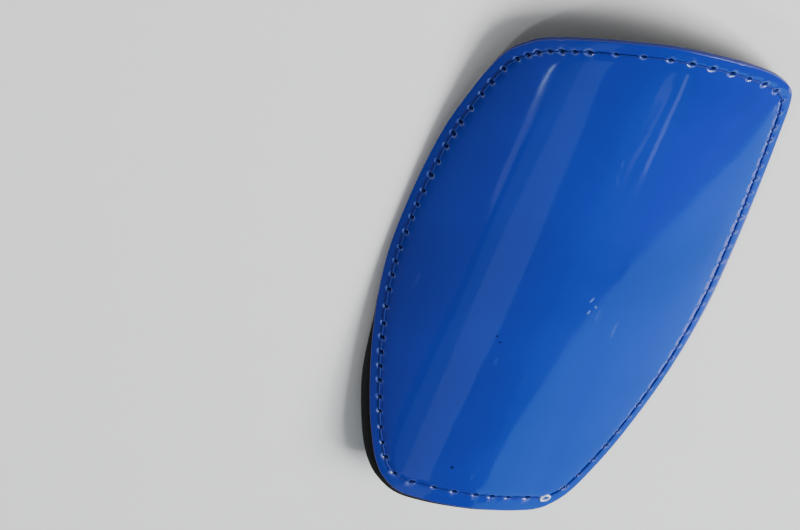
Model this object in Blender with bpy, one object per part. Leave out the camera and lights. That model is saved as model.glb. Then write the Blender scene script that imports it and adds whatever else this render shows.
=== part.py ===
"""Football shin guard: one bent blue plastic shell with a black foam backing pad.

The guard lies on the side rims of its arch, convex face up. +Y points to the wide upper end,
+X across the shin, and the origin is under the middle of the whole guard, on the floor.
Every outline is drawn flat, as the sheet is cut, and then wrapped round the bend.
Lengths are in metres.
"""
import math

import bpy
import bmesh
from mathutils import Vector

# Driving dimensions
LENGTH = 0.200            # upper edge to lower edge, along the shin
FLAT_WIDTH = 0.0946       # widest part of the sheet, measured round the bend
BEND_RADIUS = 0.080       # outer face of the shell
SHELL_WALL = 0.0012       # moulded sheet
SHELL_EDGE_ROUND = 0.0003  # softened arris along the cut edge
PAD_GAP = 0.0003          # clearance between the shell and the pad
PAD_THICKNESS = 0.0035    # foam in the middle of the pad
PAD_RIM_THICKNESS = 0.0009  # foam squeezed flat where it is sewn
SEAM_INSET_SIDE = 0.0027  # seam line, in from the shell's edge along the sides
SEAM_INSET_UPPER = 0.0043  # the same at the upper edge
SEAM_INSET_LOWER = 0.0062  # and at the lower edge
PAD_SOFT_BORDER = 0.013   # the foam swells from rim to full thickness over this width
PAD_SETBACK = 0.0012      # pad edge inside the shell edge, where the two are cut alike
PAD_OVERHANG = 0.0034     # how far the pad sticks out past the shell at the lower left corner

# Shape shares, chosen by hand. The outline runs from the middle of the lower edge, up a side, to
# the middle of the upper edge. Lean shifts both sides to the right: the sheet isn't cut quite even.
OUTLINE_COLUMNS = ("length_share", "half_width_share", "lean_share")
OUTLINE = (
    (0.000, 0.000, 0.000),
    (0.000, 0.290, 0.000),
    (0.002, 0.420, 0.000),
    (0.014, 0.508, 0.000),
    (0.034, 0.582, 0.000),
    (0.073, 0.660, 0.000),
    (0.156, 0.781, 0.004),
    (0.287, 0.917, 0.005),
    (0.423, 0.993, -0.005),
    (0.564, 0.996, -0.014),
    (0.705, 0.963, -0.015),
    (0.805, 0.914, 0.000),
    (0.861, 0.878, 0.014),
    (0.896, 0.836, 0.018),
    (0.924, 0.755, 0.008),
    (0.950, 0.638, -0.006),
    (0.975, 0.448, -0.010),
    (0.993, 0.225, -0.008),
    (1.000, 0.000, 0.000),
)

# How far the pad creeps out past its set-back edge, round the lower left corner. The path is
# measured from the middle of the lower edge, as a share of LENGTH, and is negative to the left.
CREEP_COLUMNS = ("path_share", "creep_share")
CREEP = (
    (-0.56, 0.00),
    (-0.46, 0.42),
    (-0.29, 0.96),
    (-0.20, 1.00),
    (-0.10, 0.90),
    (0.00, 0.78),
    (0.09, 0.62),
    (0.20, 0.20),
    (0.27, 0.00),
)

SPINE_LOW_SHARE = 0.125   # ends of the straight line that the inner rings close on
SPINE_HIGH_SHARE = 0.765
STEPS_PER_ROW = 3         # outline points between two rows of the table
INNER_RING_SHARES = (0.14, 0.30, 0.46, 0.62, 0.78, 0.92)
BORDER_RING_STEP = 0.0025  # from the seam to the last ring that runs parallel to the edge

SHELL_BLUE = (0.012, 0.085, 0.480, 1.0)
PAD_BLACK = (0.012, 0.012, 0.013, 1.0)


def clear_scene():
    for thing in list(bpy.data.objects):
        bpy.data.objects.remove(thing, do_unlink=True)


def plain_material(name, colour, roughness):
    material = bpy.data.materials.new(name)
    material.use_nodes = True
    shader = material.node_tree.nodes["Principled BSDF"]
    shader.inputs["Base Color"].default_value = colour
    shader.inputs["Roughness"].default_value = roughness
    shader.inputs["Metallic"].default_value = 0.0
    return material


def curve_point(before, start, end, after, t):
    """A point of the smooth curve through four rows, a share t of the way from start to end."""
    return 0.5 * (
        2.0 * start
        + (end - before) * t
        + (2.0 * before - 5.0 * start + 4.0 * end - after) * t * t
        + (3.0 * start - before - 3.0 * end + after) * t * t * t
    )


def side_outline(side):
    """Flat points (across, along) up one side, from the lower to the upper edge; side is 1 or -1."""
    rows = [
        Vector(((side * width + lean) * FLAT_WIDTH / 2, (along - 0.5) * LENGTH))
        for along, width, lean in OUTLINE
    ]
    mirror = Vector((-1.0, 1.0))
    rows = [rows[1] * mirror] + rows + [rows[-2] * mirror]
    points = []
    for row in range(1, len(rows) - 2):
        for step in range(STEPS_PER_ROW):
            t = (step + 0.5) / STEPS_PER_ROW
            points.append(curve_point(*rows[row - 1:row + 3], t))
    return points


def whole_outline():
    """The closed loop: up the right side, then down the left."""
    return side_outline(1) + side_outline(-1)[::-1]


def outward_normals(loop):
    normals = []
    for index, _ in enumerate(loop):
        run = loop[(index + 1) % len(loop)] - loop[index - 1]
        normals.append(Vector((run.y, -run.x)).normalized())
    return normals


def seam_insets(normals):
    """How far in the seam runs: by the side, upper or lower value, blended round the corners."""
    insets = []
    for normal in normals:
        at_end = SEAM_INSET_UPPER if normal.y > 0 else SEAM_INSET_LOWER
        insets.append(SEAM_INSET_SIDE + (at_end - SEAM_INSET_SIDE) * normal.y ** 2)
    return insets


def path_from_lower_edge(loop):
    """Signed distance round the loop from the middle of the lower edge, left side negative."""
    half = len(loop) // 2
    paths = []
    for sign, side in ((1, loop[:half]), (-1, loop[half:][::-1])):
        travelled = abs(side[0].x)
        run = [sign * travelled]
        for start, end in zip(side, side[1:]):
            travelled += (end - start).length
            run.append(sign * travelled)
        paths.append(run)
    return paths[0] + paths[1][::-1]


def creep_share(path_share):
    """The creep table, eased smoothly from row to row."""
    if not CREEP[0][0] < path_share < CREEP[-1][0]:
        return 0.0
    for (start, low), (end, high) in zip(CREEP, CREEP[1:]):
        if path_share <= end:
            t = (path_share - start) / (end - start)
            return low + (high - low) * t * t * (3.0 - 2.0 * t)
    return 0.0


def shifted(loop, normals, distances):
    return [point + normal * far for point, normal, far in zip(loop, normals, distances)]


def towards_spine(loop, share):
    """The loop shrunk towards the middle line of the guard by a share."""
    low = (SPINE_LOW_SHARE - 0.5) * LENGTH
    high = (SPINE_HIGH_SHARE - 0.5) * LENGTH
    shrunk = []
    for point in loop:
        foot = Vector((0.0, min(max(point.y, low), high)))
        shrunk.append(point.lerp(foot, share))
    return shrunk


def flat_rings(edge_offsets):
    """Loops of flat points from the edge inwards; edge_offsets moves the first one outwards."""
    outline = whole_outline()
    normals = outward_normals(outline)
    insets = seam_insets(normals)
    rings = [
        shifted(outline, normals, edge_offsets),
        shifted(outline, normals, [-inset for inset in insets]),
        shifted(outline, normals, [-inset - BORDER_RING_STEP for inset in insets]),
    ]
    border = rings[-1]
    rings += [towards_spine(border, share) for share in INNER_RING_SHARES]
    return rings


def bent(flat_point, height):
    """Wrap a flat point round the bend; height is measured up from the shell's outer face."""
    angle = flat_point.x / BEND_RADIUS
    radius = BEND_RADIUS + height
    return Vector((
        radius * math.sin(angle),
        flat_point.y,
        radius * math.cos(angle) - BEND_RADIUS,
    ))


def first_ring(bm, places):
    ring = [bm.verts.new(place) for place in places]
    for index, vertex in enumerate(ring):
        bm.edges.new((ring[index - 1], vertex))
    return ring


def next_ring(bm, ring, places):
    """Extrude a loop of edges and put the new loop at its places."""
    edges = [bm.edges.get((ring[index - 1], vertex)) for index, vertex in enumerate(ring)]
    grown = bmesh.ops.extrude_edge_only(bm, edges=edges)
    fresh = {part for part in grown["geom"] if isinstance(part, bmesh.types.BMVert)}
    following = []
    for vertex, place in zip(ring, places):
        partner = next(
            edge.other_vert(vertex) for edge in vertex.link_edges
            if edge.other_vert(vertex) in fresh
        )
        partner.co = place
        following.append(partner)
    return following


def close_across(bm, ring):
    """Close the innermost loop with one strip of faces from its right half to its left half."""
    half = len(ring) // 2
    for index in range(half - 1):
        right, right_next = ring[index], ring[index + 1]
        left, left_next = ring[-1 - index], ring[-2 - index]
        bm.faces.new((right, right_next, left_next, left))


def solid_from_rings(name, rings, material):
    """A closed solid from bent loops that run from the underside, over the edge, to the top."""
    mesh = bpy.data.meshes.new(name)
    bm = bmesh.new()
    ring = first_ring(bm, rings[0])
    close_across(bm, ring)
    for places in rings[1:]:
        ring = next_ring(bm, ring, places)
    close_across(bm, ring)
    bmesh.ops.recalc_face_normals(bm, faces=bm.faces)
    bm.to_mesh(mesh)
    bm.free()
    mesh.shade_smooth()
    mesh.set_sharp_from_angle(angle=math.radians(35))
    mesh.materials.append(material)
    solid = bpy.data.objects.new(name, mesh)
    bpy.context.scene.collection.objects.link(solid)
    return solid


def bent_ring(flat_ring, heights):
    return [bent(point, height) for point, height in zip(flat_ring, heights)]


def build_shell():
    count = len(whole_outline())
    flush = [0.0] * count
    eased = [-SHELL_EDGE_ROUND] * count
    outer = flat_rings(flush)
    inset = flat_rings(eased)[0]
    underside = [bent_ring(ring, [-SHELL_WALL] * count) for ring in reversed(outer[1:])]
    edge = [
        bent_ring(inset, [-SHELL_WALL] * count),
        bent_ring(outer[0], [-SHELL_WALL + SHELL_EDGE_ROUND] * count),
        bent_ring(outer[0], [-SHELL_EDGE_ROUND] * count),
        bent_ring(inset, [0.0] * count),
    ]
    top = [bent_ring(ring, [0.0] * count) for ring in outer[1:]]
    material = plain_material("shell_blue_plastic", SHELL_BLUE, 0.12)
    return solid_from_rings("shell", underside + edge + top, material)


def pad_thickness(depth):
    """Foam thickness at a depth in from the seam: squeezed at the rim, full in the middle."""
    t = min(max(depth / PAD_SOFT_BORDER, 0.0), 1.0)
    ease = t * t * (3.0 - 2.0 * t)
    return PAD_RIM_THICKNESS + (PAD_THICKNESS - PAD_RIM_THICKNESS) * ease


def build_backing_pad():
    outline = whole_outline()
    creep = PAD_SETBACK + PAD_OVERHANG
    offsets = [
        creep * creep_share(path / LENGTH) - PAD_SETBACK
        for path in path_from_lower_edge(outline)
    ]
    rings = flat_rings(offsets)
    seam = rings[1]
    face = -(SHELL_WALL + PAD_GAP)
    top = [bent_ring(ring, [face] * len(ring)) for ring in rings]
    underside = [bent_ring(rings[0], [face - PAD_RIM_THICKNESS] * len(seam))]
    for ring in rings[1:]:
        heights = [
            face - pad_thickness((start - point).length) for start, point in zip(seam, ring)
        ]
        underside.append(bent_ring(ring, heights))
    material = plain_material("pad_black_foam", PAD_BLACK, 0.85)
    return solid_from_rings("backing_pad", underside[::-1] + top, material)


def stand_on_floor(solids):
    """Move the solids so that the middle of their common box stands on the origin."""
    corners = [vertex.co for solid in solids for vertex in solid.data.vertices]
    low = Vector(min(corner[axis] for corner in corners) for axis in range(3))
    high = Vector(max(corner[axis] for corner in corners) for axis in range(3))
    middle = (low + high) / 2
    for solid in solids:
        solid.location = (-middle.x, -middle.y, -low.z)


clear_scene()
stand_on_floor([build_shell(), build_backing_pad()])
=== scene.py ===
"""Football shin guard, dressed: glossy blue shell, navy seam and black backing pad.

Run as a script, it loads the solid model, builds the visible pieces round it and lays the stage.
Places on the guard are given on its flat pattern: along the seam, across it, and above the sheet.
Lengths are in metres.
"""
import math
import random

import bmesh
import bpy
import numpy as np
from mathutils import Matrix, Vector


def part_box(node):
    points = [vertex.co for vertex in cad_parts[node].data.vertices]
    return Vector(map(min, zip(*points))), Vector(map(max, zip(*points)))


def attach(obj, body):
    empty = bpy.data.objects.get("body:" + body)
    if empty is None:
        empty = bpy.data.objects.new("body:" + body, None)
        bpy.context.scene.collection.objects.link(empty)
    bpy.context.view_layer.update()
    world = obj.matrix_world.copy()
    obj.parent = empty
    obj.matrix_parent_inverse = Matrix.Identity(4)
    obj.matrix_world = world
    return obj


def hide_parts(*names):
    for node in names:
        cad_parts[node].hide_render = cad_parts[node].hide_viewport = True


bl_info = {
    "name": "Football shin guard",
    "version": (1, 0, 0),
    "blender": (4, 5, 0),
    "location": "3D View > Sidebar > Shin guard",
    "description": "Builds a sewn plastic shin guard and its foam pad",
    "category": "Add Mesh",
}

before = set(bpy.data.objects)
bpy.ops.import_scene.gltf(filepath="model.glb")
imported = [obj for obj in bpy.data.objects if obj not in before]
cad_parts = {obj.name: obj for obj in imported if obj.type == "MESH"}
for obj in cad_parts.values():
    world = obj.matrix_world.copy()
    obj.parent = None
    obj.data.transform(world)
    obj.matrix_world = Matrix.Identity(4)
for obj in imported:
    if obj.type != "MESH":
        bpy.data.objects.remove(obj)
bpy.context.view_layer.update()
SHELL_LOW, SHELL_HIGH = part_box("shell")
MM = 0.001

# The flat pattern, the same as the solid model's: from the middle of the lower edge, up a side,
# to the middle of the upper edge. Its columns are a share of the length, a share of the half width,
# and lean, which shifts both sides to the right.
OUTLINE = (
    (0.000, 0.000, 0.000),
    (0.000, 0.290, 0.000),
    (0.002, 0.420, 0.000),
    (0.014, 0.508, 0.000),
    (0.034, 0.582, 0.000),
    (0.073, 0.660, 0.000),
    (0.156, 0.781, 0.004),
    (0.287, 0.917, 0.005),
    (0.423, 0.993, -0.005),
    (0.564, 0.996, -0.014),
    (0.705, 0.963, -0.015),
    (0.805, 0.914, 0.000),
    (0.861, 0.878, 0.014),
    (0.896, 0.836, 0.018),
    (0.924, 0.755, 0.008),
    (0.950, 0.638, -0.006),
    (0.975, 0.448, -0.010),
    (0.993, 0.225, -0.008),
    (1.000, 0.000, 0.000),
)

# How far the pad creeps out past its set-back edge. Its columns are the path from the middle of
# the lower edge, as a share of the length, and the share of the full creep there.
CREEP = (
    (-0.56, 0.00),
    (-0.46, 0.42),
    (-0.29, 0.96),
    (-0.20, 1.00),
    (-0.10, 0.90),
    (0.00, 0.78),
    (0.09, 0.62),
    (0.20, 0.20),
    (0.27, 0.00),
)

SPINE_SHARES = (0.13, 0.80)   # ends of the middle line that the inner rings close on
SPAN_STEPS = 48                 # points of the dense outline between two rows of the table
SEED = 11

# The seam: its inset changes from side to end as a power of how far the edge faces up or down.
INSET_POWER_UPPER = 2.0
INSET_POWER_LOWER = 3.0
INSET_SMOOTHING = 4.5 * MM      # length over which the seam inset changes at the corners
SEAM_END_X = 20.2 * MM          # the seam's end hole, right of the middle of the lower edge
END_HOLE_SIZE = 1.15            # as a share of the other holes
PITCH_SPREAD = 0.13             # share by which the stitches differ in length
HOLE_SPREAD = (-0.12, 0.16)     # shares by which the needle holes differ in size
CLOSE_CORNER = (-0.62, 0.78)    # the stitches are short where the edge faces this way
CLOSE_RUN = (-9.0 * MM, 13.0 * MM)
CLOSE_PITCH = 0.58
LAST_RUN = 17.0 * MM            # the stitches are a little shorter before the seam's end
LAST_PITCH = 0.80

# Rings of the sheet. Border rings are shares of the way from the seam to the edge, seam rings are
# distances across from the seam, and inner rings are shares of the way to the middle line.
BORDER_SHARES = (1.0, 0.965, 0.90, 0.78, 0.62, 0.48)
SEAM_RINGS = tuple(across * MM for across in (
    -1.00, -0.76, -0.55, -0.37, -0.18, 0.0, 0.18, 0.37, 0.55, 0.76, 1.00,
))
INNER_SHARES = (0.01, 0.025, 0.05, 0.08, 0.12, 0.18, 0.25, 0.34, 0.44, 0.55, 0.67, 0.78, 0.88, 0.96)
NEAR_HOLE = tuple(step * MM for step in (0.0, 0.17, 0.35, 0.55, 0.80, 1.15, 1.60))
FILL_STEP = 1.1 * MM
HOLE_MARGIN = 0.1 * MM          # between the points that two neighbouring holes share out
NEAR_HOLE_PAD = tuple(step * MM for step in (0.0, 0.35, 0.80, 1.40))
FILL_STEP_PAD = 1.7 * MM
PAD_BORDER_SHARES = (1.0, 0.93, 0.80, 0.62, 0.42)
PAD_SEAM_RINGS = tuple(across * MM for across in (
    -0.80, -0.40, 0.0, 0.40, 0.80,
))
PAD_INNER_SHARES = (
    0.012, 0.03, 0.05, 0.08, 0.12, 0.17, 0.23, 0.31, 0.40, 0.50, 0.61, 0.73, 0.85, 0.95,
)
EDGE_SHARES = (0.75, 0.5, 0.25)  # rows of points on the sheet's cut edge, from below
PAD_EDGE_SHARES = (0.2, 0.4, 0.6, 0.8)
PAD_EDGE_SWELL = 0.25 * MM

# The groove that the seam pulls into the sheet, and the sheet's edge, which droops a little.
GROOVE_ROUND = 0.35 * MM        # rounding at the bottom of the groove
DIP_REACH = 1.1 * MM            # over which the sheet levels out inside the seam
BORDER_REACH = 1.0 * MM         # over which it levels out on the border
GROOVE_BLEND = 0.9 * MM         # width over which the border turns into the inside
EDGE_DROOP = 0.12 * MM
RIPPLE_FADE = 6.0 * MM          # the ripples fade in from the seam over this distance

# Needle holes. Lengths are in hole radii, but for the lip's height.
HOLE_ALONG = 1.12
HOLE_ACROSS = 0.88
HOLE_STEEPNESS = 2.6
# Painted shade: the sheet's colour darkens inside each hole, out to this radius.
SHADE_RADIUS = 1.05
SHADE_STEEPNESS = 3.0
LIP_HEIGHT = 0.10 * MM
LIP_RADIUS = 1.75
LIP_WIDTH = 0.55
# Painted highlight: the lip round each hole is paled, standing in for the glints it catches.
GLINT_RADIUS = 1.55
GLINT_WIDTH = 0.32
GLINT_PATCHINESS = 0.25          # how unevenly the painted highlight covers a lip
GLINT_WAVE = 2.0
GLINT_SHIFT = 9.0                # moves the patches of painted highlight from hole to hole

# The lining at the seam: pinched at each hole, with a valley between and puckers inwards. Each
# has its depth, its width along the seam and its reach across it.
PINCH = (0.22 * MM, 1.1 * MM, 1.5 * MM)
PUCKER = (0.16 * MM, 1.5 * MM, 4.5 * MM)
VALLEY_DEPTH = 0.10 * MM
VALLEY_WIDTH = 1.1 * MM
PAD_THINNEST = 0.22 * MM

STITCH_STEP = 0.16 * MM
STITCH_STEPS_LEAST = 12
STITCH_WANDER = 0.10 * MM       # how far a stitch may bow to a side
STITCH_DIVE = 1.5 * MM          # how deep a stitch goes into its holes
STITCH_DIVE_BACK = 0.5 * MM
STITCH_ENTRY = 0.50 * MM        # length at each end over which it goes in
STITCH_ENTRY_STEEPNESS = 2.2
THREAD_LIFT = 0.55              # height of the thread's middle over the sheet, in thread radii
THREAD_LIFT_BACK = 0.75
THREAD_SIDES = 10
THREAD_LAY = 2.3 * MM           # length over which the plies turn once
THREAD_WAIST = 0.70             # radius between the two plies, as a share of the full radius

RIM_INWARDS = -0.45 * MM
RIM_RADIUS = 1.22 * MM
RIM_HALF_WIDTH = 0.30 * MM
RIM_HALF_HEIGHT = 0.30 * MM
RIM_LIFT = 0.45                 # height of its middle over the sheet, in half heights
RIM_POINTS = 40
RIM_SIDES = 14
RIM_WOBBLES = ((0.06, 2, 0.6), (0.04, 5, 0.0))   # each a share of the radius, waves and phase

CAMERA_AZIMUTH = 195.196        # degrees, 0 looks along +Y and 90 along -X
CAMERA_ELEVATION = 37.626
CAMERA_ROLL = 178.265
CAMERA_DISTANCE = 1.7377
CAMERA_TARGET = (-0.04436, 0.00206, 0.01522)
CAMERA_LENS = 303.02            # millimetres
CAMERA_SENSOR = 36.0            # millimetres
CAMERA_CLIP = (0.05, 20.0)
FLOOR_SIZE = 12.0
WORLD_LIGHT = 0.09
WORLD_COLOUR = (0.85, 0.93, 1.0, 1.0)

WHITE = (1.0, 1.0, 1.0)
SKY = (0.12, 0.66, 1.0)
HAZE = (0.55, 0.82, 1.0)
WARM = (1.0, 0.45, 0.30)

# White lamps that face the guard: name, shape, size, place and radiance.
LAMPS = (
    ("key_softbox", "RECTANGLE", (1.3, 1.0), (1.32, 0.3, 1.13), 15.3),
    ("camera_fill", "RECTANGLE", (1.8, 0.7), (0.3, 1.9, 0.5), 2.6),
    ("overhead_softbox", "RECTANGLE", (1.6, 1.6), (0.5, 0.8, 1.6), 0.7),
    ("small_spot", "ELLIPSE", (0.14, 0.14), (1.1, -0.27, 0.80), 90.0),
    ("left_spot", "ELLIPSE", (0.14, 0.14), (-0.83, -0.26, 1.08), 50.0),
    ("edge_card", "RECTANGLE", (0.8, 0.4), (-1.3, -0.6, 0.35), 1.2),
)

# Cards that face along +Y, which the glossy sheet reflects towards the camera: name, shape, size,
# place, spin about the way they face in degrees, radiance and colour.
CARDS = (
    ("sky_card", "ELLIPSE", (0.801, 0.423), (0.3885, -0.5, 0.008), -55.3, 0.87, SKY),
    ("low_card", "RECTANGLE", (0.16, 0.11), (0.54, -0.5, 0.055), 0.0, 2.0, WHITE),
    ("haze_card", "RECTANGLE", (0.40, 0.9), (0.63, -1.5, 0.95), 0.0, 0.12, SKY),
    ("wide_strip", "RECTANGLE", (0.275, 0.9), (-0.093, -1.5, 1.3), 0.0, 0.26, HAZE),
    ("wide_strip_soft", "RECTANGLE", (0.40, 0.9), (-0.155, -1.51, 1.3), 0.0, 0.16, HAZE),
    ("left_streak", "RECTANGLE", (0.007, 0.030), (-0.185, -0.5, 0.522), 2.0, 17.0, HAZE),
    ("warm_wall", "RECTANGLE", (0.60, 1.40), (-0.72, -1.5, 1.10), 0.0, 0.08, WARM),
    ("left_haze", "RECTANGLE", (0.026, 0.070), (-0.172, -0.5, 0.478), 0.0, 0.50, HAZE),
    ("middle_streak", "RECTANGLE", (0.016, 0.090), (0.277, -0.5, 0.474), -30.0, 1.1, HAZE),
    ("faint_streak", "RECTANGLE", (0.009, 0.070), (0.232, -0.5, 0.486), -30.0, 0.5, HAZE),
)

# Lamps that light the guard but don't show in its gloss.
UNREFLECTED = ("camera_fill", "overhead_softbox")

# Small marks on the sheet, in millimetres: x and y of the middle, half width, half length, turn in
# degrees, and whether the mark is a pale scuff (1) or a dark speck (0).
MARKS = (
    (8.3, -2.2, 0.34, 1.1, -14.0, 1),
    (10.1, -5.2, 0.28, 0.7, 30.0, 1),
    (8.9, -7.6, 0.36, 0.9, -10.0, 1),
    (-11.8, -23.1, 0.40, 0.5, 0.0, 0),
    (-10.4, -25.3, 0.45, 0.4, 40.0, 0),
    (-8.8, -81.8, 0.55, 0.7, 20.0, 0),
)

# Colours of small places on the sheet.
SCUFF_PALE = (0.16, 0.26, 0.60)
MARK_PALE = (0.20, 0.36, 0.80)
MARK_PALE_STRENGTH = 0.34
MARK_DARK = (0.001, 0.004, 0.050)
MARK_DARK_STRENGTH = 0.85
# Painted highlight on the lips round the needle holes.
LIP_PAINTED_GLINT = (0.26, 0.36, 0.74)
# Painted shade inside the needle holes.
PIT_PAINTED_SHADE = (0.001, 0.002, 0.016)

# Ripples of the sheet: height and width in millimetres, sway in widths, the length that sets how
# quickly they sway in millimetres, and phase.
RIPPLES = (
    (0.030, 13.0, 0.55, 46.0, 0.0),
    (0.026, 21.0, 0.35, 71.0, 1.1),
    (0.007, 6.3, 0.60, 88.0, 2.3),
)


def length(name, description, default, precision=4):
    """A length in metres that the panel shows."""
    return bpy.props.FloatProperty(
        name=name, description=description, default=default, unit="LENGTH", precision=precision)


def paint(name, description, default):
    """A colour that the panel shows."""
    return bpy.props.FloatVectorProperty(
        name=name, description=description, default=default, subtype="COLOR", size=3)


class ShinGuardSizes(bpy.types.PropertyGroup):
    """Sizes of the visible pieces."""

    bend_radius: length("Bend radius", "Outer face of the shell", 0.080)
    shell_wall: length("Shell wall", "Thickness of the plastic sheet", 0.0012)
    seam_inset_side: length(
        "Seam inset, sides", "Seam line in from the shell's side edges", 0.0027)
    seam_inset_upper: length("Seam inset, upper", "Seam line in from the upper edge", 0.0043)
    seam_inset_lower: length("Seam inset, lower", "Seam line in from the lower edge", 0.0062)
    stitch_pitch: length("Stitch pitch", "Hole to hole along the seam", 0.0062)
    thread_diameter: length("Thread", "Diameter of the seam thread", 0.00050, precision=5)
    hole_radius: length(
        "Needle hole", "Radius of the crater at a needle hole", 0.00060, precision=5)
    hole_depth: length("Hole depth", "How deep the crater goes", 0.00100, precision=5)
    sheet_puff: length("Puff", "How far the sheet swells inside the seam", 0.00012, precision=5)
    seam_dip: length("Seam dip", "How deep the seam pulls the sheet down", 0.00036, precision=5)
    pad_gap: length("Pad gap", "Between the shell and the pad", 0.0003, precision=5)
    pad_thickness: length("Pad", "Foam thickness in the middle", 0.0035)
    pad_rim: length("Pad rim", "Foam thickness where it is sewn", 0.0009)
    pad_soft_border: length(
        "Pad border", "Width over which the foam swells to full thickness", 0.013)
    pad_setback: length("Pad setback", "Pad edge inside the shell edge", 0.0012)
    pad_overhang: length("Pad overhang", "Pad past the shell at the lower left corner", 0.0034)


class ShinGuardColours(bpy.types.PropertyGroup):
    """Colours of the visible pieces and the floor."""

    shell_blue: paint("Shell", "Plastic sheet", (0.009, 0.0255, 0.305))
    thread_navy: paint("Thread", "Seam thread", (0.004, 0.014, 0.150))
    pad_black: paint("Pad", "Foam and its cloth", (0.010, 0.010, 0.011))
    pale_rim: paint("Pale rim", "Stressed plastic round the large hole", (0.72, 0.80, 0.92))
    floor: paint("Floor", "Plain pale floor", (0.86, 0.86, 0.86))


def ease(value):
    """A smooth step from 0 to 1."""
    t = np.clip(value, 0.0, 1.0)
    return t * t * (3.0 - 2.0 * t)


def bell(value):
    """A smooth bump: 1 at 0, falling to nothing either side."""
    return np.exp(-np.square(value))


class Pattern:
    """The flat cut of the guard, with places given along the seam and across it."""

    def __init__(self, sizes):
        self.sizes = sizes
        self.length = SHELL_HIGH.y - SHELL_LOW.y
        self.middle_y = (SHELL_HIGH.y + SHELL_LOW.y) / 2
        self.crest = SHELL_HIGH.z
        half_chord = (SHELL_HIGH.x - SHELL_LOW.x) / 2
        widest = max(width + abs(lean) for _, width, lean in OUTLINE)
        self.half_width = sizes.bend_radius * math.asin(half_chord / sizes.bend_radius) / widest
        self.outline = np.concatenate([self.side(1), self.side(-1)[::-1]])
        run = np.roll(self.outline, -1, axis=0) - np.roll(self.outline, 1, axis=0)
        normal = np.stack([run[:, 1], -run[:, 0]], axis=1)
        self.normal = normal / np.linalg.norm(normal, axis=1)[:, None]
        upper = self.normal[:, 1] > 0
        at_end = np.where(upper, sizes.seam_inset_upper, sizes.seam_inset_lower)
        power = np.where(upper, INSET_POWER_UPPER, INSET_POWER_LOWER)
        blend = np.abs(self.normal[:, 1]) ** power
        inset = sizes.seam_inset_side + (at_end - sizes.seam_inset_side) * blend
        self.inset = self.smoothed(inset)
        self.seam = self.outline - self.normal * self.inset[:, None]
        steps = np.linalg.norm(np.roll(self.seam, -1, axis=0) - self.seam, axis=1)
        self.along = np.concatenate([[0.0], np.cumsum(steps)])
        self.total = self.along[-1]
        self.creep = self.creep_shares()
        self.holes, self.hole_sizes = self.punch()

    def side(self, side):
        """Dense flat points up one side, from the lower to the upper edge."""
        rows = np.array([
            ((side * width + lean) * self.half_width, (along - 0.5) * self.length)
            for along, width, lean in OUTLINE
        ])
        mirror = np.array([-1.0, 1.0])
        rows = np.vstack([rows[1] * mirror, rows, rows[-2] * mirror])
        t = ((np.arange(SPAN_STEPS) + 0.5) / SPAN_STEPS)[:, None]
        spans = []
        for before, start, end, after in zip(rows, rows[1:], rows[2:], rows[3:]):
            spans.append(0.5 * (
                2.0 * start + (end - before) * t
                + (2.0 * before - 5.0 * start + 4.0 * end - after) * t ** 2
                + (3.0 * start - before - 3.0 * end + after) * t ** 3
            ))
        return np.concatenate(spans)

    def outline_path(self):
        """Length of each step round the outline, and each point's path from the lower middle."""
        steps = np.linalg.norm(np.roll(self.outline, -1, axis=0) - self.outline, axis=1)
        return steps, np.concatenate([[0.0], np.cumsum(steps)[:-1]])

    def smoothed(self, values):
        """Values round the outline, averaged with their neighbours."""
        steps, path = self.outline_path()
        gaps = np.abs(path[:, None] - path[None, :])
        gaps = np.minimum(gaps, steps.sum() - gaps)
        weights = bell(gaps / INSET_SMOOTHING) * ((steps + np.roll(steps, 1)) / 2)[None, :]
        return weights @ values / weights.sum(axis=1)

    def creep_shares(self):
        """How far the pad creeps out at each outline point, by its path from the lower middle."""
        steps, path = self.outline_path()
        half = len(path) // 2
        path[half:] -= steps.sum()
        path /= self.length
        shares = np.zeros(len(path))
        for (start, low), (end, high) in zip(CREEP, CREEP[1:]):
            here = (path >= start) & (path <= end)
            shares[here] = low + (high - low) * ease((path[here] - start) / (end - start))
        return shares

    def at(self, values, along):
        """Values of the dense loop, read at places along the seam."""
        wrapped = np.mod(along, self.total)
        closed = np.concatenate([values, values[:1]])
        if closed.ndim == 1:
            return np.interp(wrapped, self.along, closed)
        return np.stack(
            [np.interp(wrapped, self.along, closed[:, axis]) for axis in range(2)], axis=1)

    def flat(self, along, across):
        """Flat points at places along the seam and distances inwards across it."""
        normal = self.at(self.normal, along)
        normal /= np.linalg.norm(normal, axis=1)[:, None]
        return self.at(self.seam, along) - normal * np.asarray(across)[..., None]

    def to_spine(self, points, along, share):
        """Flat points moved a share of the way to the middle line, which they reach in order."""
        low, high = [(end - 0.5) * self.length for end in SPINE_SHARES]
        right = self.along[len(self.outline) // 2]
        up = np.minimum(along / right, (self.total - along) / (self.total - right))
        foot = np.stack([np.zeros(len(points)), low + (high - low) * up], axis=1)
        return points + (foot - points) * share

    def punch(self):
        """Needle holes along the seam, and how large each is. The first is the seam's end."""
        dice = random.Random(SEED)
        quarter = len(self.outline) // 4
        start = float(np.interp(SEAM_END_X, self.seam[:quarter, 0], self.along[:quarter]))
        corner = self.along[int(np.argmax(self.normal @ np.array(CLOSE_CORNER)))]
        places = [start]
        while places[-1] < start + self.total:
            pitch = self.sizes.stitch_pitch * (1.0 + dice.uniform(-PITCH_SPREAD, PITCH_SPREAD))
            if CLOSE_RUN[0] < places[-1] - corner < CLOSE_RUN[1]:
                pitch *= CLOSE_PITCH
            if places[-1] > start + self.total - LAST_RUN:
                pitch *= LAST_PITCH
            places.append(places[-1] + pitch)
        fit = self.total / (places[-1] - start)
        holes = np.array([start + (place - start) * fit for place in places[:-1]])
        sizes = np.array([1.0 + dice.uniform(*HOLE_SPREAD) for _ in holes])
        sizes[0] = END_HOLE_SIZE
        return holes, sizes

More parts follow.
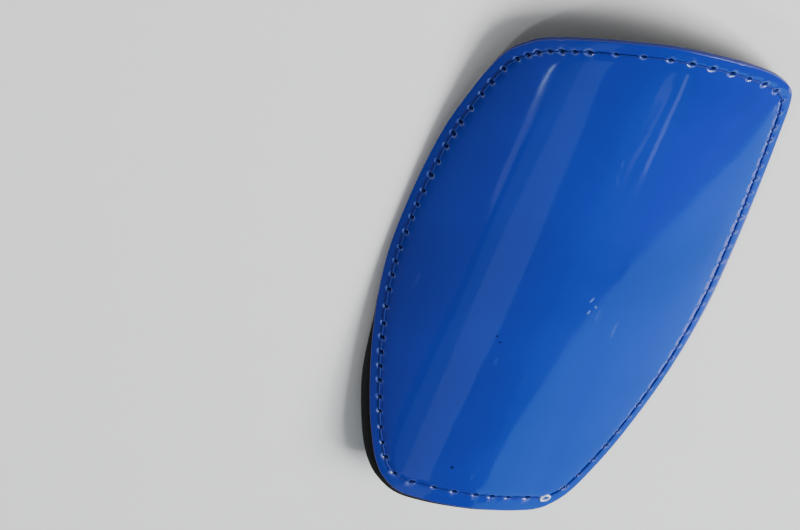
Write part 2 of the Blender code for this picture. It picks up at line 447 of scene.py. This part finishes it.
    def ring_places(self, near, fill):
        """Places round the seam for a ring's points: close together at the holes."""
        places = []
        for index, hole in enumerate(self.holes):
            following = self.holes[(index + 1) % len(self.holes)]
            gap = (following - hole) % self.total
            reach = [step for step in near if step < gap / 2 - HOLE_MARGIN]
            places += [hole + step for step in reach]
            open_run = gap - 2 * reach[-1]
            count = max(int(math.ceil(open_run / fill)), 1)
            places += [hole + reach[-1] + open_run * k / count for k in range(1, count)]
            places += [hole + gap - step for step in reversed(reach[1:])]
        return np.sort(np.mod(np.array(places), self.total))

    def right_count(self, along):
        """How many of the sorted places lie on the right, before the middle of the upper edge."""
        return int(np.searchsorted(along, self.along[len(self.outline) // 2]))

    def from_hole(self, along):
        """Signed distance along the seam from the nearest hole, and that hole's size."""
        gaps = (np.asarray(along)[:, None] - self.holes[None, :] + self.total / 2) % self.total
        gaps -= self.total / 2
        nearest = np.argmin(np.abs(gaps), axis=1)
        return gaps[np.arange(len(gaps)), nearest], self.hole_sizes[nearest]

    def bent(self, flat, height):
        """Wrap flat points round the bend; height is above the shell's nominal outer face."""
        angle = flat[:, 0] / self.sizes.bend_radius
        radius = self.sizes.bend_radius + height
        return np.stack([
            radius * np.sin(angle),
            flat[:, 1] + self.middle_y,
            radius * np.cos(angle) - self.sizes.bend_radius + self.crest,
        ], axis=1)

    def sheet_height(self, flat, along, across):
        """Outer face of the sheet, pulled down at the seam, without its needle holes."""
        puff, dip = self.sizes.sheet_puff, self.sizes.seam_dip
        inset = self.at(self.inset, along)
        depth = np.sqrt(np.square(across) + GROOVE_ROUND ** 2)
        inside = puff - (puff + dip) * np.exp(-depth / DIP_REACH)
        border = -dip * np.exp(-depth / BORDER_REACH)
        border -= EDGE_DROOP * np.square(np.minimum(-across / inset, 1.0))
        inside_at_seam = puff - (puff + dip) * math.exp(-GROOVE_ROUND / DIP_REACH)
        border_at_seam = -dip * math.exp(-GROOVE_ROUND / BORDER_REACH)
        blend = ease(across / GROOVE_BLEND + 0.5)
        height = blend * inside + (1.0 - blend) * (border + inside_at_seam - border_at_seam)
        fade = 1.0 - bell(np.maximum(across, 0.0) / RIPPLE_FADE)
        return height + fade * self.ripple(flat)

    def ripple(self, flat):
        """Faint waves of the sheet, across the shin."""
        total = np.zeros(len(flat))
        for height, width, sway, sway_length, phase in RIPPLES:
            bow = sway * np.sin(flat[:, 1] / (sway_length * MM) + phase)
            total += height * MM * np.sin(2 * math.pi * (flat[:, 0] / (width * MM) + bow) + phase)
        return total

    def crater(self, along, across):
        """The needle holes and their raised lips: height, the painted shade inside each hole and
        the painted highlight on its lip.
        """
        gap, size = self.from_hole(along)
        reach = self.sizes.hole_radius * size
        far = np.sqrt(
            np.square(gap / (HOLE_ALONG * reach)) + np.square(across / (HOLE_ACROSS * reach)))
        depth = -self.sizes.hole_depth * np.exp(-np.power(far, HOLE_STEEPNESS))
        lip = LIP_HEIGHT * bell((far - LIP_RADIUS) / LIP_WIDTH)
        hole_shade = np.exp(-np.power(far / SHADE_RADIUS, SHADE_STEEPNESS))
        wave = np.sin(GLINT_WAVE * gap / reach + GLINT_SHIFT * size)
        patchy_glint = 1.0 - GLINT_PATCHINESS * (1.0 - wave)
        return depth + lip, hole_shade, patchy_glint * bell((far - GLINT_RADIUS) / GLINT_WIDTH)

    def pad_rings(self, along):
        """Flat rings of the pad from its edge inwards, each with its distance across the seam."""
        sizes = self.sizes
        shares = self.at(self.creep, along)
        offset = (sizes.pad_setback + sizes.pad_overhang) * shares - sizes.pad_setback
        reach = self.at(self.inset, along) + offset
        rings = []
        for share in PAD_BORDER_SHARES:
            rings.append((self.flat(along, -reach * share), -reach * share))
        for across in PAD_SEAM_RINGS:
            far = np.full(len(along), across)
            rings.append((self.flat(along, far), far))
        seam = self.at(self.seam, along)
        border = rings[-1][0]
        for share in PAD_INNER_SHARES:
            flat = self.to_spine(border, along, share)
            rings.append((flat, np.linalg.norm(flat - seam, axis=1)))
        return rings

    def foam_height(self, flat, along, across):
        """Upper face of the pad, which lies against the sheet."""
        return self.sheet_height(flat, along, across) - self.sizes.shell_wall - self.sizes.pad_gap

    def lining_height(self, flat, along, across):
        """Lower face of the pad, pinched in at the seam and at each needle hole."""
        sizes = self.sizes
        gap, _ = self.from_hole(along)
        full = sizes.pad_rim + (sizes.pad_thickness - sizes.pad_rim) * ease(
            across / sizes.pad_soft_border)
        far = np.abs(across)
        depth, width, reach = PINCH
        pinch = depth * bell(gap / width) * np.exp(-far / reach)
        depth, width, reach = PUCKER
        pucker = depth * bell(gap / width) * np.exp(-far / reach) * (across > 0)
        valley = VALLEY_DEPTH * bell(across / VALLEY_WIDTH)
        nominal = -(sizes.shell_wall + sizes.pad_gap + full)
        thinnest = self.foam_height(flat, along, across) - PAD_THINNEST
        return np.minimum(nominal + pinch + valley + pucker, thinnest)


def thinned(rings):
    """Every third ring and the last, for a face that shows little."""
    kept = rings[::3]
    return kept if kept[-1] is rings[-1] else kept + [rings[-1]]


def place_ring(ring, places):
    """Move a loop's points to their places."""
    for vertex, place in zip(ring, places):
        vertex.co = place


def first_ring(bm, places):
    """A closed loop of edges through the places."""
    made = bmesh.ops.create_circle(bm, segments=len(places), radius=1.0)
    ring = made["verts"]
    place_ring(ring, places)
    return ring


def next_ring(bm, ring, places):
    """Extrude a loop of edges to new places. Returns the new loop and the faces between."""
    edges = [bm.edges.get((ring[index - 1], vertex)) for index, vertex in enumerate(ring)]
    grown = bmesh.ops.extrude_edge_only(bm, edges=edges)["geom"]
    fresh = {part for part in grown if isinstance(part, bmesh.types.BMVert)}
    faces = [part for part in grown if isinstance(part, bmesh.types.BMFace)]
    following = [
        next(edge.other_vert(vertex) for edge in vertex.link_edges
             if edge.other_vert(vertex) in fresh)
        for vertex in ring
    ]
    place_ring(following, places)
    return following, faces


def close_across(bm, ring, right):
    """Close an inner loop with one strip of faces from its right side to its left."""
    rows = (ring[:right], ring[right:])
    edges = [bm.edges.get(pair) for row in rows for pair in zip(row, row[1:])]
    return bmesh.ops.bridge_loops(bm, edges=edges)["faces"]


def finish_piece(name, bm, materials):
    """Turn a bmesh into a smooth shaded piece that rides on the guard."""
    bmesh.ops.recalc_face_normals(bm, faces=bm.faces)
    mesh = bpy.data.meshes.new(name)
    bm.to_mesh(mesh)
    bm.free()
    mesh.shade_smooth()
    for material in materials:
        mesh.materials.append(material)
    piece = bpy.data.objects.new(name, mesh)
    bpy.context.scene.collection.objects.link(piece)
    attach(piece, "root")
    return piece


class Nodes:
    """A short hand for building one material's node tree."""

    def __init__(self, name):
        self.material = bpy.data.materials.new(name)
        self.material.use_nodes = True
        self.tree = self.material.node_tree
        self.place = self.add("ShaderNodeTexCoord", {}).outputs["Object"]

    def add(self, kind, inputs, **settings):
        """A new node with its settings and its inputs."""
        node = self.tree.nodes.new(kind)
        for key, value in settings.items():
            setattr(node, key, value)
        self.feed(node, inputs)
        return node

    def feed(self, node, inputs):
        """Give a node's inputs their numbers, colours or links."""
        for key, value in inputs.items():
            socket = node.inputs[key]
            if isinstance(value, bpy.types.NodeSocket):
                self.tree.links.new(value, socket)
            elif socket.type == "RGBA":
                socket.default_value = (*value, 1.0)
            else:
                socket.default_value = value

    def surface(self, **values):
        """Feed the shader, whose inputs are named with _ for a space, and give the material."""
        inputs = {key.replace("_", " "): value for key, value in values.items()}
        self.feed(self.tree.nodes["Principled BSDF"], inputs)
        return self.material

    def scaled(self, scale, turn=(0.0, 0.0, 0.0)):
        """The object's own coordinates, scaled and turned."""
        inputs = {"Vector": self.place, "Scale": scale, "Rotation": turn}
        return self.add("ShaderNodeMapping", inputs).outputs["Vector"]

    def noise(self, scale, detail=3.0, roughness=0.5, vector=None):
        """Cloudy noise."""
        inputs = {"Scale": scale, "Detail": detail, "Roughness": roughness}
        inputs["Vector"] = vector or self.place
        return self.add("ShaderNodeTexNoise", inputs).outputs["Fac"]

    def bands(self, direction, scale, distortion):
        """Soft bands that follow one another along X or Y."""
        inputs = {"Scale": 1.0, "Distortion": distortion, "Detail": 1.0}
        inputs["Vector"] = self.scaled((scale, scale, scale))
        settings = {"wave_type": "BANDS", "bands_direction": direction}
        return self.add("ShaderNodeTexWave", inputs, **settings).outputs["Fac"]

    def span(self, source, old, new=(0.0, 1.0)):
        """Map a value smoothly from one range to another, clamped."""
        inputs = {"Value": source, "From Min": old[0], "From Max": old[1]}
        inputs["To Min"], inputs["To Max"] = new
        node = self.add("ShaderNodeMapRange", inputs, interpolation_type="SMOOTHSTEP")
        return node.outputs["Result"]

    def math(self, operation, first, second):
        """A sum or a product of numbers or sockets."""
        node = self.add("ShaderNodeMath", {0: first, 1: second}, operation=operation)
        return node.outputs["Value"]

    def mix(self, share, first, second):
        """Mix two colours. The node's colour inputs are 6 and 7, and its colour output is 2."""
        inputs = {"Factor": share, 6: first, 7: second}
        return self.add("ShaderNodeMix", inputs, data_type="RGBA").outputs[2]

    def patch(self, middle, halves, turn, ragged):
        """A ragged spot seen from above, with sizes in millimetres: 1 inside, 0 outside."""
        inputs = {
            "Vector": self.place,
            "Location": (middle[0] * MM, middle[1] * MM, 0.0),
            "Rotation": (0.0, 0.0, math.radians(turn)),
            "Scale": (halves[0] * MM, halves[1] * MM, 1.0),
        }
        mapping = self.add("ShaderNodeMapping", inputs, vector_type="TEXTURE")
        far = self.add("ShaderNodeVectorMath", {0: mapping.outputs["Vector"]}, operation="LENGTH")
        reach = self.math("ADD", far.outputs["Value"], ragged)
        return self.span(reach, (1.1, 1.7), (1.0, 0.0))

    def attribute(self, name):
        """A value that the mesh keeps at its points."""
        return self.add("ShaderNodeAttribute", {}, attribute_name=name).outputs["Fac"]

    def bump(self, height, strength, distance, below=None):
        """A bump from a height, over another bump where one is given."""
        inputs = {"Height": height, "Strength": strength, "Distance": distance}
        if below is not None:
            inputs["Normal"] = below
        return self.add("ShaderNodeBump", inputs).outputs["Normal"]


def shade(colour, factor):
    """A colour made darker or paler."""
    return tuple(min(channel * factor, 1.0) for channel in colour)


def shell_gloss(colours):
    """Glossy sheet: even blue, faint mottling, small marks, smudged gloss, and painted shade and
    highlight at the needle holes.
    """
    nodes = Nodes("shell_gloss")
    blue = tuple(colours.shell_blue)
    mottle = nodes.span(nodes.noise(22.0, detail=4.0), (0.35, 0.65))
    body = nodes.mix(mottle, shade(blue, 0.93), shade(blue, 1.07))
    slanted = nodes.scaled((190.0, 34.0, 60.0), turn=(0.0, 0.0, 0.35))
    scuff = nodes.noise(1.0, detail=5.0, roughness=0.62, vector=slanted)
    body = nodes.mix(nodes.span(scuff, (0.66, 0.74), (0.0, 0.10)), body, SCUFF_PALE)
    grain = nodes.noise(900.0, detail=2.0)
    for x, y, half_width, half_length, turn, pale in MARKS:
        spot = nodes.patch((x, y), (half_width, half_length), turn, grain)
        strength = MARK_PALE_STRENGTH if pale else MARK_DARK_STRENGTH
        tint = MARK_PALE if pale else MARK_DARK
        body = nodes.mix(nodes.math("MULTIPLY", spot, strength), body, tint)
    # Painted highlight on the lips round the needle holes, in patches.
    patchy_glint = nodes.span(grain, (0.3, 0.6), (0.15, 0.6))
    body = nodes.mix(nodes.math("MULTIPLY", nodes.attribute("lip"), patchy_glint), body, LIP_PAINTED_GLINT)
    # Painted shade darkens the sheet inside the needle holes.
    body = nodes.mix(nodes.attribute("pit_shade"), body, PIT_PAINTED_SHADE)
    smudge = nodes.span(nodes.noise(34.0, detail=5.0, roughness=0.6), (0.35, 0.75), (0.035, 0.09))
    orange_peel = nodes.bump(nodes.noise(130.0), strength=0.10, distance=0.10 * MM)
    normal = nodes.bump(grain, strength=0.04, distance=0.02 * MM, below=orange_peel)
    return nodes.surface(Base_Color=body, Roughness=smudge, Normal=normal, IOR=1.50)


def shell_cut_edge(colours):
    """The sheet's sawn edge and dull back: the same blue, rougher, and darkened as painted shade.
    """
    nodes = Nodes("shell_cut_edge")
    blue = tuple(colours.shell_blue)
    across = nodes.scaled((1200.0, 1200.0, 5200.0))
    streak = nodes.noise(1.0, detail=4.0, roughness=0.6, vector=across)
    # Painted shade: the shell's blue darkened for the cut edge and the back.
    body = nodes.mix(nodes.span(streak, (0.3, 0.7)), shade(blue, 0.32), shade(blue, 0.52))
    return nodes.surface(
        Base_Color=body, Roughness=nodes.span(streak, (0.3, 0.7), (0.35, 0.5)), IOR=1.50,
        Specular_IOR_Level=0.25, Normal=nodes.bump(streak, strength=0.35, distance=0.08 * MM))


def thread_navy(colours):
    """Twisted sewing thread with a dull sheen."""
    nodes = Nodes("thread_navy")
    navy = tuple(colours.thread_navy)
    fibre = nodes.noise(4200.0)
    body = nodes.mix(nodes.span(fibre, (0.3, 0.7)), shade(navy, 0.55), shade(navy, 1.8))
    return nodes.surface(
        Base_Color=body, Roughness=0.6, Specular_IOR_Level=0.25,
        Normal=nodes.bump(fibre, strength=0.5, distance=0.06 * MM))


def pale_rim(colours):
    """Plastic whitened by stress round the large hole."""
    nodes = Nodes("pale_rim")
    pale = tuple(colours.pale_rim)
    patch = nodes.span(nodes.noise(1500.0), (0.35, 0.65))
    body = nodes.mix(patch, shade(pale, 0.78), pale)
    return nodes.surface(
        Base_Color=body, Roughness=0.22,
        Normal=nodes.bump(patch, strength=0.15, distance=0.04 * MM))


def pad_cloth(colours):
    """Black knitted lining: fine ribs along the shin crossed by loops, with a short nap."""
    nodes = Nodes("pad_cloth")
    black = tuple(colours.pad_black)
    ribs = nodes.bands("X", scale=330.0, distortion=0.35)
    loops = nodes.bands("Y", scale=420.0, distortion=0.5)
    weave = nodes.math("MULTIPLY", ribs, loops)
    fuzz = nodes.math("MULTIPLY", nodes.noise(2600.0), 0.35)
    worn = nodes.span(nodes.noise(28.0, detail=4.0), (0.45, 0.7), (0.0, 0.35))
    body = nodes.mix(nodes.span(weave, (0.0, 0.8)), shade(black, 0.55), shade(black, 1.7))
    body = nodes.mix(worn, body, shade(black, 2.4))
    height = nodes.math("ADD", weave, fuzz)
    return nodes.surface(
        Base_Color=body, Roughness=0.88, Sheen_Weight=0.35, Sheen_Roughness=0.5,
        Normal=nodes.bump(height, strength=0.55, distance=0.22 * MM))


def pad_foam(colours):
    """The pad's cut edge: black foam with open cells."""
    nodes = Nodes("pad_foam")
    black = tuple(colours.pad_black)
    inputs = {"Vector": nodes.place, "Scale": 2300.0}
    cells = nodes.add("ShaderNodeTexVoronoi", inputs, feature="F1")
    pore = nodes.span(cells.outputs["Distance"], (0.1, 0.6))
    body = nodes.mix(pore, shade(black, 1.6), shade(black, 0.5))
    return nodes.surface(
        Base_Color=body, Roughness=0.92, Normal=nodes.bump(pore, strength=0.6, distance=0.18 * MM))


def sizes_and_colours():
    """The values that the panel shows."""
    scene = bpy.context.scene
    return scene.shin_guard_sizes, scene.shin_guard_colours


def sheet_rings(pattern, along):
    """Flat rings of the sheet from its edge inwards, each with its distance across the seam."""
    inset = pattern.at(pattern.inset, along)
    rings = []
    for share in BORDER_SHARES:
        across = -inset * share
        rings.append((pattern.flat(along, across), across))
    for across in SEAM_RINGS:
        far = np.full(len(along), across)
        rings.append((pattern.flat(along, far), far))
    seam = pattern.at(pattern.seam, along)
    border = rings[-1][0]
    for share in INNER_SHARES:
        flat = pattern.to_spine(border, along, share)
        rings.append((flat, np.linalg.norm(flat - seam, axis=1)))
    return rings


class GUARD_OT_form_shell(bpy.types.Operator):
    """Form the glossy plastic shell, with its seam groove and needle holes"""

    bl_idname = "guard.form_shell"
    bl_label = "Form the shell"

    def execute(self, context):
        sizes, colours = sizes_and_colours()
        pattern = Pattern(sizes)
        along = pattern.ring_places(NEAR_HOLE, FILL_STEP)
        rings = sheet_rings(pattern, along)
        edge_flat, edge_across = rings[0]
        inner = thinned(rings)
        bm = bmesh.new()
        # Painted shade inside the needle holes, kept at each point.
        pit_shade = bm.verts.layers.float.new("pit_shade")
        # Painted highlight on the lips round the needle holes, kept at each point.
        lip = bm.verts.layers.float.new("lip")

        def under(flat, across):
            height = pattern.sheet_height(flat, along, across) - sizes.shell_wall
            return pattern.bent(flat, height)

        def outer(flat, across):
            height = pattern.sheet_height(flat, along, across)
            hole, hole_shade, pale = pattern.crater(along, across)
            return pattern.bent(flat, height + hole), hole_shade, pale

        ring = first_ring(bm, under(*inner[-1]))
        dull = close_across(bm, ring, pattern.right_count(along))
        for flat, across in inner[-2::-1]:
            ring, faces = next_ring(bm, ring, under(flat, across))
            dull += faces
        edge_top = pattern.sheet_height(edge_flat, along, edge_across)
        for share in EDGE_SHARES:
            places = pattern.bent(edge_flat, edge_top - sizes.shell_wall * share)
            ring, faces = next_ring(bm, ring, places)
            dull += faces
        for flat, across in rings:
            places, hole_shade, pale = outer(flat, across)
            ring, faces = next_ring(bm, ring, places)
            for vertex, shade_share, glint_share in zip(ring, hole_shade, pale):
                vertex[pit_shade] = shade_share
                vertex[lip] = glint_share
        close_across(bm, ring, pattern.right_count(along))
        for face in dull:
            face.material_index = 1
        shell = finish_piece(
            "shell_skin", bm, [shell_gloss(colours), shell_cut_edge(colours)])
        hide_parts("shell")
        return {"FINISHED"}


def stitch_paths(pattern, side):
    """Each stitch's centre line and first turn. Side is 1 on the shell and -1 on the lining."""
    sizes = pattern.sizes
    dice = random.Random(SEED + side)
    radius = sizes.thread_diameter / 2
    deep = STITCH_DIVE if side > 0 else STITCH_DIVE_BACK
    for start, following in zip(pattern.holes, np.roll(pattern.holes, -1)):
        gap = (following - start) % pattern.total
        steps = max(int(gap / STITCH_STEP), STITCH_STEPS_LEAST)
        share = (1.0 - np.cos(math.pi * np.arange(steps + 1) / steps)) / 2
        along = start + gap * share
        from_end = np.minimum(share, 1.0 - share) * gap
        across = dice.uniform(-STITCH_WANDER, STITCH_WANDER) * np.sin(math.pi * share)
        flat = pattern.flat(along, across)
        dive = deep * np.exp(-np.power(from_end / STITCH_ENTRY, STITCH_ENTRY_STEEPNESS))
        if side > 0:
            base = pattern.sheet_height(flat, along, across) + radius * THREAD_LIFT
        else:
            base = pattern.lining_height(flat, along, across) - radius * THREAD_LIFT_BACK
        yield pattern.bent(flat, base - side * dive), dice.uniform(0.0, math.pi)


def sweep(bm, centres, sideways, profile, turns):
    """Add a closed tube through the centres. Profile gives its radius by the turned angle."""
    angles = 2 * math.pi * np.arange(THREAD_SIDES) / THREAD_SIDES
    run = np.gradient(centres, axis=0)
    run /= np.linalg.norm(run, axis=1)[:, None]
    side = sideways - run * (run @ sideways)[:, None]
    side /= np.linalg.norm(side, axis=1)[:, None]
    up = np.cross(run, side)
    radii = profile(angles[None, :] + turns[:, None])
    places = centres[:, None, :] + (
        (radii * np.cos(angles))[:, :, None] * side[:, None, :]
        + (radii * np.sin(angles))[:, :, None] * up[:, None, :])
    part = bmesh.new()
    ring = first_ring(part, places[0])
    bmesh.ops.contextual_create(part, geom=ring)
    for round_places in places[1:]:
        ring, _ = next_ring(part, ring, round_places)
    bmesh.ops.contextual_create(part, geom=ring)
    bmesh.ops.recalc_face_normals(part, faces=part.faces)
    mesh = bpy.data.meshes.new("stitch")
    part.to_mesh(mesh)
    part.free()
    bm.from_mesh(mesh)
    bpy.data.meshes.remove(mesh)


def two_ply(radius):
    """Radius by angle of two plies laid together."""
    return lambda angle: radius * (THREAD_WAIST + (1.0 - THREAD_WAIST) * np.abs(np.cos(angle)))


class GUARD_OT_sew_seam(bpy.types.Operator):
    """Sew the seam: navy stitches on the shell and on the lining"""

    bl_idname = "guard.sew_seam"
    bl_label = "Sew the seam"

    def execute(self, context):
        sizes, colours = sizes_and_colours()
        pattern = Pattern(sizes)
        thread = thread_navy(colours)
        profile = two_ply(sizes.thread_diameter / 2)
        for name, side in (("seam_thread", 1), ("seam_thread_back", -1)):
            bm = bmesh.new()
            for centres, turn in stitch_paths(pattern, side):
                middle = centres[len(centres) // 2]
                ahead = centres[-1] - centres[0]
                out = np.array([middle[0], 0.0, middle[2] + sizes.bend_radius - pattern.crest])
                sideways = np.cross(out, ahead)
                steps = np.linalg.norm(np.diff(centres, axis=0), axis=1)
                run = np.concatenate([[0.0], np.cumsum(steps)])
                turns = turn + run * 2 * math.pi / THREAD_LAY
                sweep(bm, centres, sideways, profile, turns)
            finish_piece(name, bm, [thread])
        return {"FINISHED"}


class GUARD_OT_ring_hole(bpy.types.Operator):
    """Set the pale raised rim round the large hole where the seam ends"""

    bl_idname = "guard.ring_hole"
    bl_label = "Ring the large hole"

    def execute(self, context):
        sizes, colours = sizes_and_colours()
        pattern = Pattern(sizes)
        along, across = pattern.holes[:1], np.array([RIM_INWARDS])
        centre = pattern.flat(along, across)
        base = pattern.sheet_height(centre, along, across)
        angles = 2 * math.pi * np.arange(RIM_POINTS) / RIM_POINTS
        around = np.stack([np.cos(angles), np.sin(angles)], axis=1)
        wobble = 1.0 + sum(
            share * np.sin(waves * angles + phase) for share, waves, phase in RIM_WOBBLES)
        bm = bmesh.new()
        loops = []
        for turn in 2 * math.pi * np.arange(RIM_SIDES) / RIM_SIDES:
            radius = (RIM_RADIUS + RIM_HALF_WIDTH * math.cos(turn)) * wobble
            height = base + RIM_HALF_HEIGHT * (math.sin(turn) + RIM_LIFT)
            places = pattern.bent(centre + radius[:, None] * around, np.repeat(height, RIM_POINTS))
            loops.append(next_ring(bm, loops[-1], places)[0] if loops else first_ring(bm, places))
        edges = [
            bm.edges.get((loop[index - 1], vertex))
            for loop in (loops[0], loops[-1]) for index, vertex in enumerate(loop)
        ]
        bmesh.ops.bridge_loops(bm, edges=edges)
        finish_piece("seam_end_rim", bm, [pale_rim(colours)])
        return {"FINISHED"}


class GUARD_OT_pad_lining(bpy.types.Operator):
    """Form the black foam pad and its lining behind the shell"""

    bl_idname = "guard.pad_lining"
    bl_label = "Form the pad"

    def execute(self, context):
        sizes, colours = sizes_and_colours()
        pattern = Pattern(sizes)
        along = pattern.ring_places(NEAR_HOLE_PAD, FILL_STEP_PAD)
        rings = pattern.pad_rings(along)
        top = thinned(rings)
        bm = bmesh.new()

        def upper(flat, across):
            return pattern.bent(flat, pattern.foam_height(flat, along, across))

        def lower(flat, across):
            return pattern.bent(flat, pattern.lining_height(flat, along, across))

        ring = first_ring(bm, upper(*top[-1]))
        foam = close_across(bm, ring, pattern.right_count(along))
        for flat, across in top[-2::-1]:
            ring, faces = next_ring(bm, ring, upper(flat, across))
            foam += faces
        edge_flat, edge_across = rings[0]
        high = pattern.foam_height(edge_flat, along, edge_across)
        low = pattern.lining_height(edge_flat, along, edge_across)
        for share in PAD_EDGE_SHARES:
            swell = PAD_EDGE_SWELL * math.sin(math.pi * share)
            flat = pattern.flat(along, edge_across - swell)
            ring, faces = next_ring(bm, ring, pattern.bent(flat, high + (low - high) * share))
            foam += faces
        for flat, across in rings:
            ring, _ = next_ring(bm, ring, lower(flat, across))
        close_across(bm, ring, pattern.right_count(along))
        for face in foam:
            face.material_index = 1
        pad = finish_piece("pad", bm, [pad_cloth(colours), pad_foam(colours)])
        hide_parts("backing_pad")
        return {"FINISHED"}


def aim(thing, place, target, up):
    """Stand a lamp or camera at a place, looking at the target."""
    back = (Vector(place) - Vector(target)).normalized()
    across = Vector(up).cross(back).normalized()
    turn = Matrix((across, back.cross(across), back)).transposed()
    thing.matrix_world = Matrix.Translation(place) @ turn.to_4x4()


def lamp(name, shape, size, place, target, spin, radiance, colour):
    """A flat lamp of a given radiance and colour, which the camera doesn't see."""
    light = bpy.data.lights.new(name, "AREA")
    light.shape = shape
    light.size, light.size_y = size
    light.color = colour
    share = math.pi / 4 if shape == "ELLIPSE" else 1.0
    light.energy = radiance * math.pi * share * size[0] * size[1]
    thing = bpy.data.objects.new(name, light)
    bpy.context.scene.collection.objects.link(thing)
    aim(thing, place, target, (0.0, 0.0, 1.0))
    thing.matrix_world = thing.matrix_world @ Matrix.Rotation(math.radians(spin), 4, "Z")
    thing.visible_camera = False
    thing.visible_glossy = name not in UNREFLECTED


class GUARD_OT_lay_stage(bpy.types.Operator):
    """Lay the pale floor and set the lamps and the camera"""

    bl_idname = "guard.lay_stage"
    bl_label = "Lay the stage"

    def execute(self, context):
        _, colours = sizes_and_colours()
        bm = bmesh.new()
        bmesh.ops.create_grid(bm, x_segments=8, y_segments=8, size=FLOOR_SIZE / 2)
        mesh = bpy.data.meshes.new("floor")
        bm.to_mesh(mesh)
        bm.free()
        nodes = Nodes("floor_paper")
        pale = tuple(colours.floor)
        tooth = nodes.span(nodes.noise(60.0), (0.3, 0.7))
        body = nodes.mix(tooth, shade(pale, 0.992), pale)
        paper = nodes.surface(Base_Color=body, Roughness=0.75, Specular_IOR_Level=0.2)
        mesh.materials.append(paper)
        floor = bpy.data.objects.new("floor", mesh)
        bpy.context.scene.collection.objects.link(floor)

        world = bpy.data.worlds.new("studio")
        world.use_nodes = True
        sky = world.node_tree.nodes["Background"]
        sky.inputs["Color"].default_value = WORLD_COLOUR
        sky.inputs["Strength"].default_value = WORLD_LIGHT
        bpy.context.scene.world = world
        for name, shape, size, place, radiance in LAMPS:
            lamp(name, shape, size, place, (0.0, 0.0, 0.0), 0.0, radiance, WHITE)
        for name, shape, size, place, spin, radiance, colour in CARDS:
            ahead = (place[0], place[1] + 1.0, place[2])
            lamp(name, shape, size, place, ahead, spin, radiance, colour)

        azimuth, elevation = math.radians(CAMERA_AZIMUTH), math.radians(CAMERA_ELEVATION)
        back = Vector((
            math.sin(azimuth) * math.cos(elevation),
            -math.cos(azimuth) * math.cos(elevation),
            math.sin(elevation),
        ))
        data = bpy.data.cameras.new("photo_camera")
        data.lens = CAMERA_LENS
        data.sensor_width = CAMERA_SENSOR
        data.clip_start, data.clip_end = CAMERA_CLIP
        camera = bpy.data.objects.new("photo_camera", data)
        bpy.context.scene.collection.objects.link(camera)
        target = Vector(CAMERA_TARGET)
        aim(camera, target + back * CAMERA_DISTANCE, target, (0.0, 0.0, 1.0))
        camera.matrix_world = camera.matrix_world @ Matrix.Rotation(
            math.radians(CAMERA_ROLL), 4, "Z")
        bpy.context.scene.camera = camera
        return {"FINISHED"}


class GUARD_PT_panel(bpy.types.Panel):
    """The steps that build the shin guard"""

    bl_idname = "GUARD_PT_panel"
    bl_label = "Shin guard"
    bl_space_type = "VIEW_3D"
    bl_region_type = "UI"
    bl_category = "Shin guard"

    def draw(self, context):
        for group in (context.scene.shin_guard_sizes, context.scene.shin_guard_colours):
            column = self.layout.column()
            for name in group.__annotations__:
                column.prop(group, name)
        for step in STEPS:
            self.layout.operator(step.bl_idname)


STEPS = (
    GUARD_OT_form_shell, GUARD_OT_sew_seam, GUARD_OT_ring_hole, GUARD_OT_pad_lining,
    GUARD_OT_lay_stage,
)
CLASSES = (ShinGuardSizes, ShinGuardColours, *STEPS, GUARD_PT_panel)


def register():
    for kind in CLASSES:
        bpy.utils.register_class(kind)
    bpy.types.Scene.shin_guard_sizes = bpy.props.PointerProperty(type=ShinGuardSizes)
    bpy.types.Scene.shin_guard_colours = bpy.props.PointerProperty(type=ShinGuardColours)


def unregister():
    del bpy.types.Scene.shin_guard_colours
    del bpy.types.Scene.shin_guard_sizes
    for kind in reversed(CLASSES):
        bpy.utils.unregister_class(kind)


def main():
    register()
    bpy.ops.guard.form_shell()
    bpy.ops.guard.sew_seam()
    bpy.ops.guard.ring_hole()
    bpy.ops.guard.pad_lining()
    bpy.ops.guard.lay_stage()


if __name__ == "__main__":
    main()
